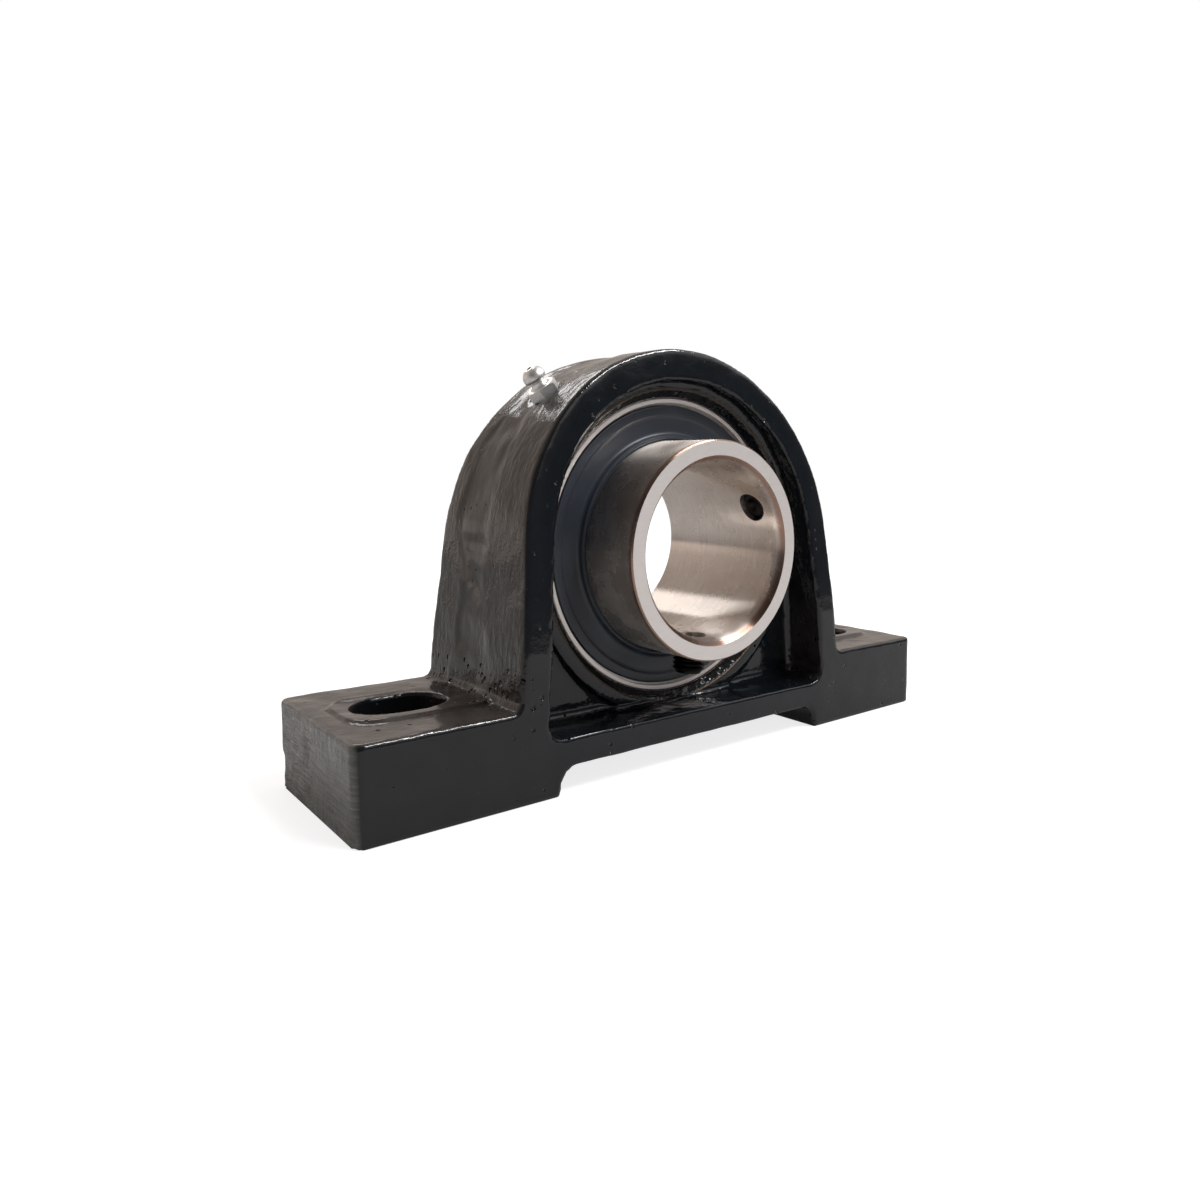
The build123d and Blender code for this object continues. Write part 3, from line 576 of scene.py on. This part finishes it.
# Bonded rubber coat: blue-black and satin, with a bloom that lightens it in patches.
coat, tree, shader = new_finish("blue_black_rubber_coat")
spot = add_node(tree, "ShaderNodeTexCoord").outputs["Object"]
bloom = add_node(tree, "ShaderNodeTexNoise", {"Vector": spot, "Scale": 1 / (16 * MM), "Detail": 4.0})
tone = add_node(tree, "ShaderNodeMix", {"Factor": bloom.outputs["Fac"], 6: linear("#23272d"),
                                        7: linear("#414751")}, data_type="RGBA")
fine = add_node(tree, "ShaderNodeTexNoise", {"Vector": spot, "Scale": 1 / (0.45 * MM), "Detail": 2.0})
skin = add_node(tree, "ShaderNodeBump", {"Height": fine.outputs["Fac"], "Strength": 0.25,
                                         "Distance": 0.02 * MM})
satin = add_node(tree, "ShaderNodeMapRange", {"Value": bloom.outputs["Fac"], "To Min": 0.26, "To Max": 0.42})
set_shader(tree, shader, Base_Color=tone.outputs[2], Roughness=satin.outputs["Result"], IOR=1.5,
           Normal=skin.outputs["Normal"])
for flinger in (front_flinger, rear_flinger):
    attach(flinger, "inner_ring")
    wear(flinger, coat)

# Inner ring
# Bearing steel, with one long side that carries both set screws. Bore, collar and faces are ground, and the
# bore's mouth is chamfered for the shaft.
BORE = 25.0
COLLAR = 31.25
RING_FRONT, RING_BACK = -32.6, 19.0
INNER_RACE_CENTRE = 35.22
SCREW_ANGLES = (28.0, -95.0)
SCREW_Y = -23.0
SCREW_HOLE = 4.65
race_edge = math.degrees(math.acos((INNER_RACE_CENTRE - COLLAR) / RACE_RADIUS))
inner_profile = [(26.9, RING_FRONT), (30.85, RING_FRONT), (COLLAR, -32.2)]
inner_profile += arc(INNER_RACE_CENTRE, -RACE_RADIUS, [race_edge * step / 8 for step in range(8, -9, -1)])
inner_profile += [(COLLAR, 18.6), (30.85, RING_BACK), (25.6, RING_BACK), (BORE, 18.4), (BORE, -28.6),
                  (25.12, -29.6), (25.4, -30.5), (25.75, -31.3)]
inner_ring = turned("inner_ring_steel", inner_profile)
for angle in SCREW_ANGLES:
    drill = turned("drill", [(0.001, 0), (SCREW_HOLE, 0), (SCREW_HOLE, -7.2), (0.001, -7.2)], steps=64)
    place_radially(drill, angle, BORE - 0.5, SCREW_Y)
    finish_with(inner_ring, "BOOLEAN", operation="DIFFERENCE", solver="EXACT", object=drill)
    bpy.data.objects.remove(drill)
finish_with(inner_ring, "BEVEL", width=0.14 * MM, segments=2, limit_method="ANGLE",
            angle_limit=math.radians(30), harden_normals=True)
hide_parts("inner_ring")
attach(inner_ring, "inner_ring")

# Ground finer than the races and lightly oiled: sharper highlights, and the collar mirrors the flinger as a
# dark band.
collar_steel = ground_steel("ground_and_oiled_steel", "#e4dcd5", "#c9bdb3", 0.27, 0.3)
wear(inner_ring, collar_steel)
wear_on_faces(inner_ring, face_steel)

# Set screws
# Hardened steel socket set screws with a cup point, blackened by oxide. They are backed out of the bore, so
# that the lower one stands out under the collar. Their thread is drawn as rings a pitch apart.
SCREW_POINT = 26.0          # from the shaft's axis to the cup point
SCREW_LENGTH = 10.0
SCREW_HEX = 5.0
SCREW_HEX_DEPTH = 4.0
THREAD_PITCH = 1.25
THREAD_CREST, THREAD_ROOT = 4.6, 3.95
screw_profile = [(0.001, -1.2), (0.65, -1.2), (2.6, 0), (3.6, 0), (THREAD_ROOT, -0.5)]
for turn in range(7):
    start = 0.5 + turn * THREAD_PITCH
    screw_profile += [(THREAD_CREST, -start - 0.5), (THREAD_CREST, -start - 0.7), (THREAD_ROOT, -start - 1.2)]
screw_profile += [(3.6, -SCREW_LENGTH), (0.001, -SCREW_LENGTH)]
corner = SCREW_HEX / math.sqrt(3)
socket_floor, key_end = SCREW_HEX_DEPTH - SCREW_LENGTH, -SCREW_LENGTH - 1
screws = {}
for letter, angle in zip("ab", SCREW_ANGLES):
    screw = turned(f"socket_set_screw_{letter}", screw_profile, steps=64)
    key = turned("hex_key", [(0.001, socket_floor), (corner, socket_floor), (corner, key_end),
                             (0.001, key_end)], steps=6)
    finish_with(screw, "BOOLEAN", operation="DIFFERENCE", solver="EXACT", object=key)
    bpy.data.objects.remove(key)
    place_radially(screw, angle, SCREW_POINT, SCREW_Y)
    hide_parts(f"set_screw_{letter}")
    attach(screw, f"set_screw_{letter}")
    screws[letter] = screw

oxide, tree, shader = new_finish("black_oxide_steel")
spot = add_node(tree, "ShaderNodeTexCoord").outputs["Object"]
oil = add_node(tree, "ShaderNodeTexNoise", {"Vector": spot, "Scale": 1 / (1.5 * MM), "Detail": 3.0})
tone = add_node(tree, "ShaderNodeMix", {"Factor": oil.outputs["Fac"], 6: linear("#151516"),
                                        7: linear("#2d2b2a")}, data_type="RGBA")
sheen = add_node(tree, "ShaderNodeMapRange", {"Value": oil.outputs["Fac"], "To Min": 0.25, "To Max": 0.5})
set_shader(tree, shader, Base_Color=tone.outputs[2], Metallic=1.0, Roughness=sheen.outputs["Result"])
for screw in screws.values():
    wear(screw, oxide)

# Studio
# A pale floor and a white surround. One soft box hangs above and in front, and a dimmer one above and behind.
# The room is warm grey behind and dark in front on the left, and the black enamel reads by its reflections.
FLOOR_SIZE = 12             # in metres
SEEN_GLOW = 0.8             # keeps the floor pale for the camera, with the bearing's shadow on it
MIRRORED_GLOW = 0.12
bpy.ops.object.select_all(action="DESELECT")
bpy.ops.mesh.primitive_plane_add(size=FLOOR_SIZE)
floor = bpy.context.object
floor.name = "floor"
pale, tree, shader = new_finish("pale_floor")
rays = add_node(tree, "ShaderNodeLightPath")
mirrored = add_node(tree, "ShaderNodeMath", {0: rays.outputs["Is Glossy Ray"],
                                             1: rays.outputs["Is Transmission Ray"]}, operation="MAXIMUM")
mirrored = add_node(tree, "ShaderNodeMath", {0: mirrored.outputs["Value"], 1: MIRRORED_GLOW},
                    operation="MULTIPLY")
direct = add_node(tree, "ShaderNodeMath", {0: rays.outputs["Is Camera Ray"], 1: SEEN_GLOW},
                  operation="MULTIPLY")
glow = add_node(tree, "ShaderNodeMath", {0: direct.outputs["Value"], 1: mirrored.outputs["Value"]},
                operation="MAXIMUM")
set_shader(tree, shader, Base_Color=linear("#b4b4b4"), Roughness=1.0, Specular_IOR_Level=0.0,
           Emission_Color=linear("#ffffff"), Emission_Strength=glow.outputs["Value"])
wear(floor, pale)

world = bpy.data.worlds.new("studio")
world.use_nodes = True
bpy.context.scene.world = world
tree = world.node_tree
surround = tree.nodes["Background"]
# The room's walls and ceiling are linear brightnesses, as some are over 1. They light the bearing and show in
# its gloss, and the camera sees white in their place.
BACK_LEFT = (-0.64, 0.77, 0.0)
towards = add_node(tree, "ShaderNodeTexCoord").outputs["Generated"]
split = add_node(tree, "ShaderNodeSeparateXYZ", {"Vector": towards})
side = add_node(tree, "ShaderNodeVectorMath", {0: towards, 1: BACK_LEFT}, operation="DOT_PRODUCT")
warm = add_node(tree, "ShaderNodeMapRange", {"Value": side.outputs["Value"], "From Min": 0.3,
                                             "From Max": 1.0}, interpolation_type="SMOOTHSTEP")
above = add_node(tree, "ShaderNodeMapRange", {"Value": split.outputs["Z"], "From Min": 0.25,
                                              "From Max": 0.55}, interpolation_type="SMOOTHSTEP")
ahead = add_node(tree, "ShaderNodeMapRange", {"Value": split.outputs["Y"], "From Min": -0.2,
                                              "From Max": 0.45}, interpolation_type="SMOOTHSTEP")
low = add_node(tree, "ShaderNodeMapRange", {"Value": split.outputs["Z"], "From Min": 0.2, "From Max": 0.03},
               interpolation_type="SMOOTHSTEP")
lit = add_node(tree, "ShaderNodeMath", {0: warm.outputs["Result"], 1: low.outputs["Result"]},
               operation="MULTIPLY")
walls = add_node(tree, "ShaderNodeMix", {"Factor": ahead.outputs["Result"], 6: (0.11, 0.12, 0.14, 1.0),
                                         7: (0.62, 0.54, 0.49, 1.0)}, data_type="RGBA")
walls = add_node(tree, "ShaderNodeMix", {"Factor": lit.outputs["Value"], 6: walls.outputs[2],
                                         7: (0.9, 0.79, 0.72, 1.0)}, data_type="RGBA")
to_right = add_node(tree, "ShaderNodeMapRange", {"Value": split.outputs["X"], "From Min": -0.05,
                                                 "From Max": 0.35}, interpolation_type="SMOOTHSTEP")
ceiling = add_node(tree, "ShaderNodeMix", {"Factor": to_right.outputs["Result"], 6: (0.06, 0.05, 0.045, 1.0),
                                           7: (1.2, 1.2, 1.22, 1.0)}, data_type="RGBA")
ceiling = add_node(tree, "ShaderNodeMix", {"Factor": ahead.outputs["Result"], 6: ceiling.outputs[2],
                                           7: (0.5, 0.44, 0.4, 1.0)}, data_type="RGBA")
room = add_node(tree, "ShaderNodeMix", {"Factor": above.outputs["Result"], 6: walls.outputs[2],
                                        7: ceiling.outputs[2]}, data_type="RGBA")
rays = add_node(tree, "ShaderNodeLightPath")
shown = add_node(tree, "ShaderNodeMath", {0: rays.outputs["Is Camera Ray"],
                                          1: rays.outputs["Is Transmission Ray"]}, operation="MAXIMUM")
seen = add_node(tree, "ShaderNodeMix", {"Factor": shown.outputs["Value"], 6: room.outputs[2],
                                        7: (1.0, 1.0, 1.0, 1.0)}, data_type="RGBA")
tree.links.new(seen.outputs[2], surround.inputs["Color"])
surround.inputs["Strength"].default_value = 1.0


def soft_box(name, at, towards, width, height, brightness, colour):
    """Rectangular lamp, whose face is as bright as brightness times white."""
    lamp = bpy.data.lights.new(name, "AREA")
    lamp.shape = "RECTANGLE"
    lamp.size, lamp.size_y = width, height
    lamp.energy = brightness * math.pi * width * height
    lamp.color = linear(colour)[:3]
    box = bpy.data.objects.new(name, lamp)
    bpy.context.collection.objects.link(box)
    box.location = at
    box.rotation_euler = (Vector(towards) - Vector(at)).to_track_quat("-Z", "Y").to_euler()
    box.visible_camera = False


soft_box("overhead_box", (0.36, -0.4, 0.84), (0, 0, 0.06), 0.6, 0.11, 36.0, "#ffffff")
soft_box("back_box", (0.05, 0.62, 0.62), (0, 0, 0.06), 0.36, 0.16, 4.5, "#ffffff")

# Camera, at the photograph's place: its lens and shift are those of the frame of 1200 by 1200 pixels.
IMAGE_SIZE = 1200
FOCAL_PIXELS = 868.9
OPTICAL_CENTRE = (668.7, 582.5)
CAMERA_PLACE = (-0.16761, -0.20985, 0.08429)
CAMERA_YAW, CAMERA_PITCH, CAMERA_ROLL = -40.022, 7.401, 0.456
camera = bpy.data.objects.new("camera", bpy.data.cameras.new("camera"))
bpy.context.collection.objects.link(camera)
bpy.context.scene.camera = camera
camera.data.sensor_width = 36
camera.data.lens = FOCAL_PIXELS / IMAGE_SIZE * camera.data.sensor_width
camera.data.shift_x = (IMAGE_SIZE / 2 - OPTICAL_CENTRE[0]) / IMAGE_SIZE
camera.data.shift_y = (OPTICAL_CENTRE[1] - IMAGE_SIZE / 2) / IMAGE_SIZE
camera.data.clip_start = 0.01
turn = Matrix.Rotation(math.radians(CAMERA_YAW), 4, "Z")
turn = turn @ Matrix.Rotation(math.radians(90 - CAMERA_PITCH), 4, "X")
turn = turn @ Matrix.Rotation(math.radians(CAMERA_ROLL), 4, "Z")
camera.matrix_world = Matrix.Translation(CAMERA_PLACE) @ turn
bpy.context.scene.view_settings.view_transform = "Standard"
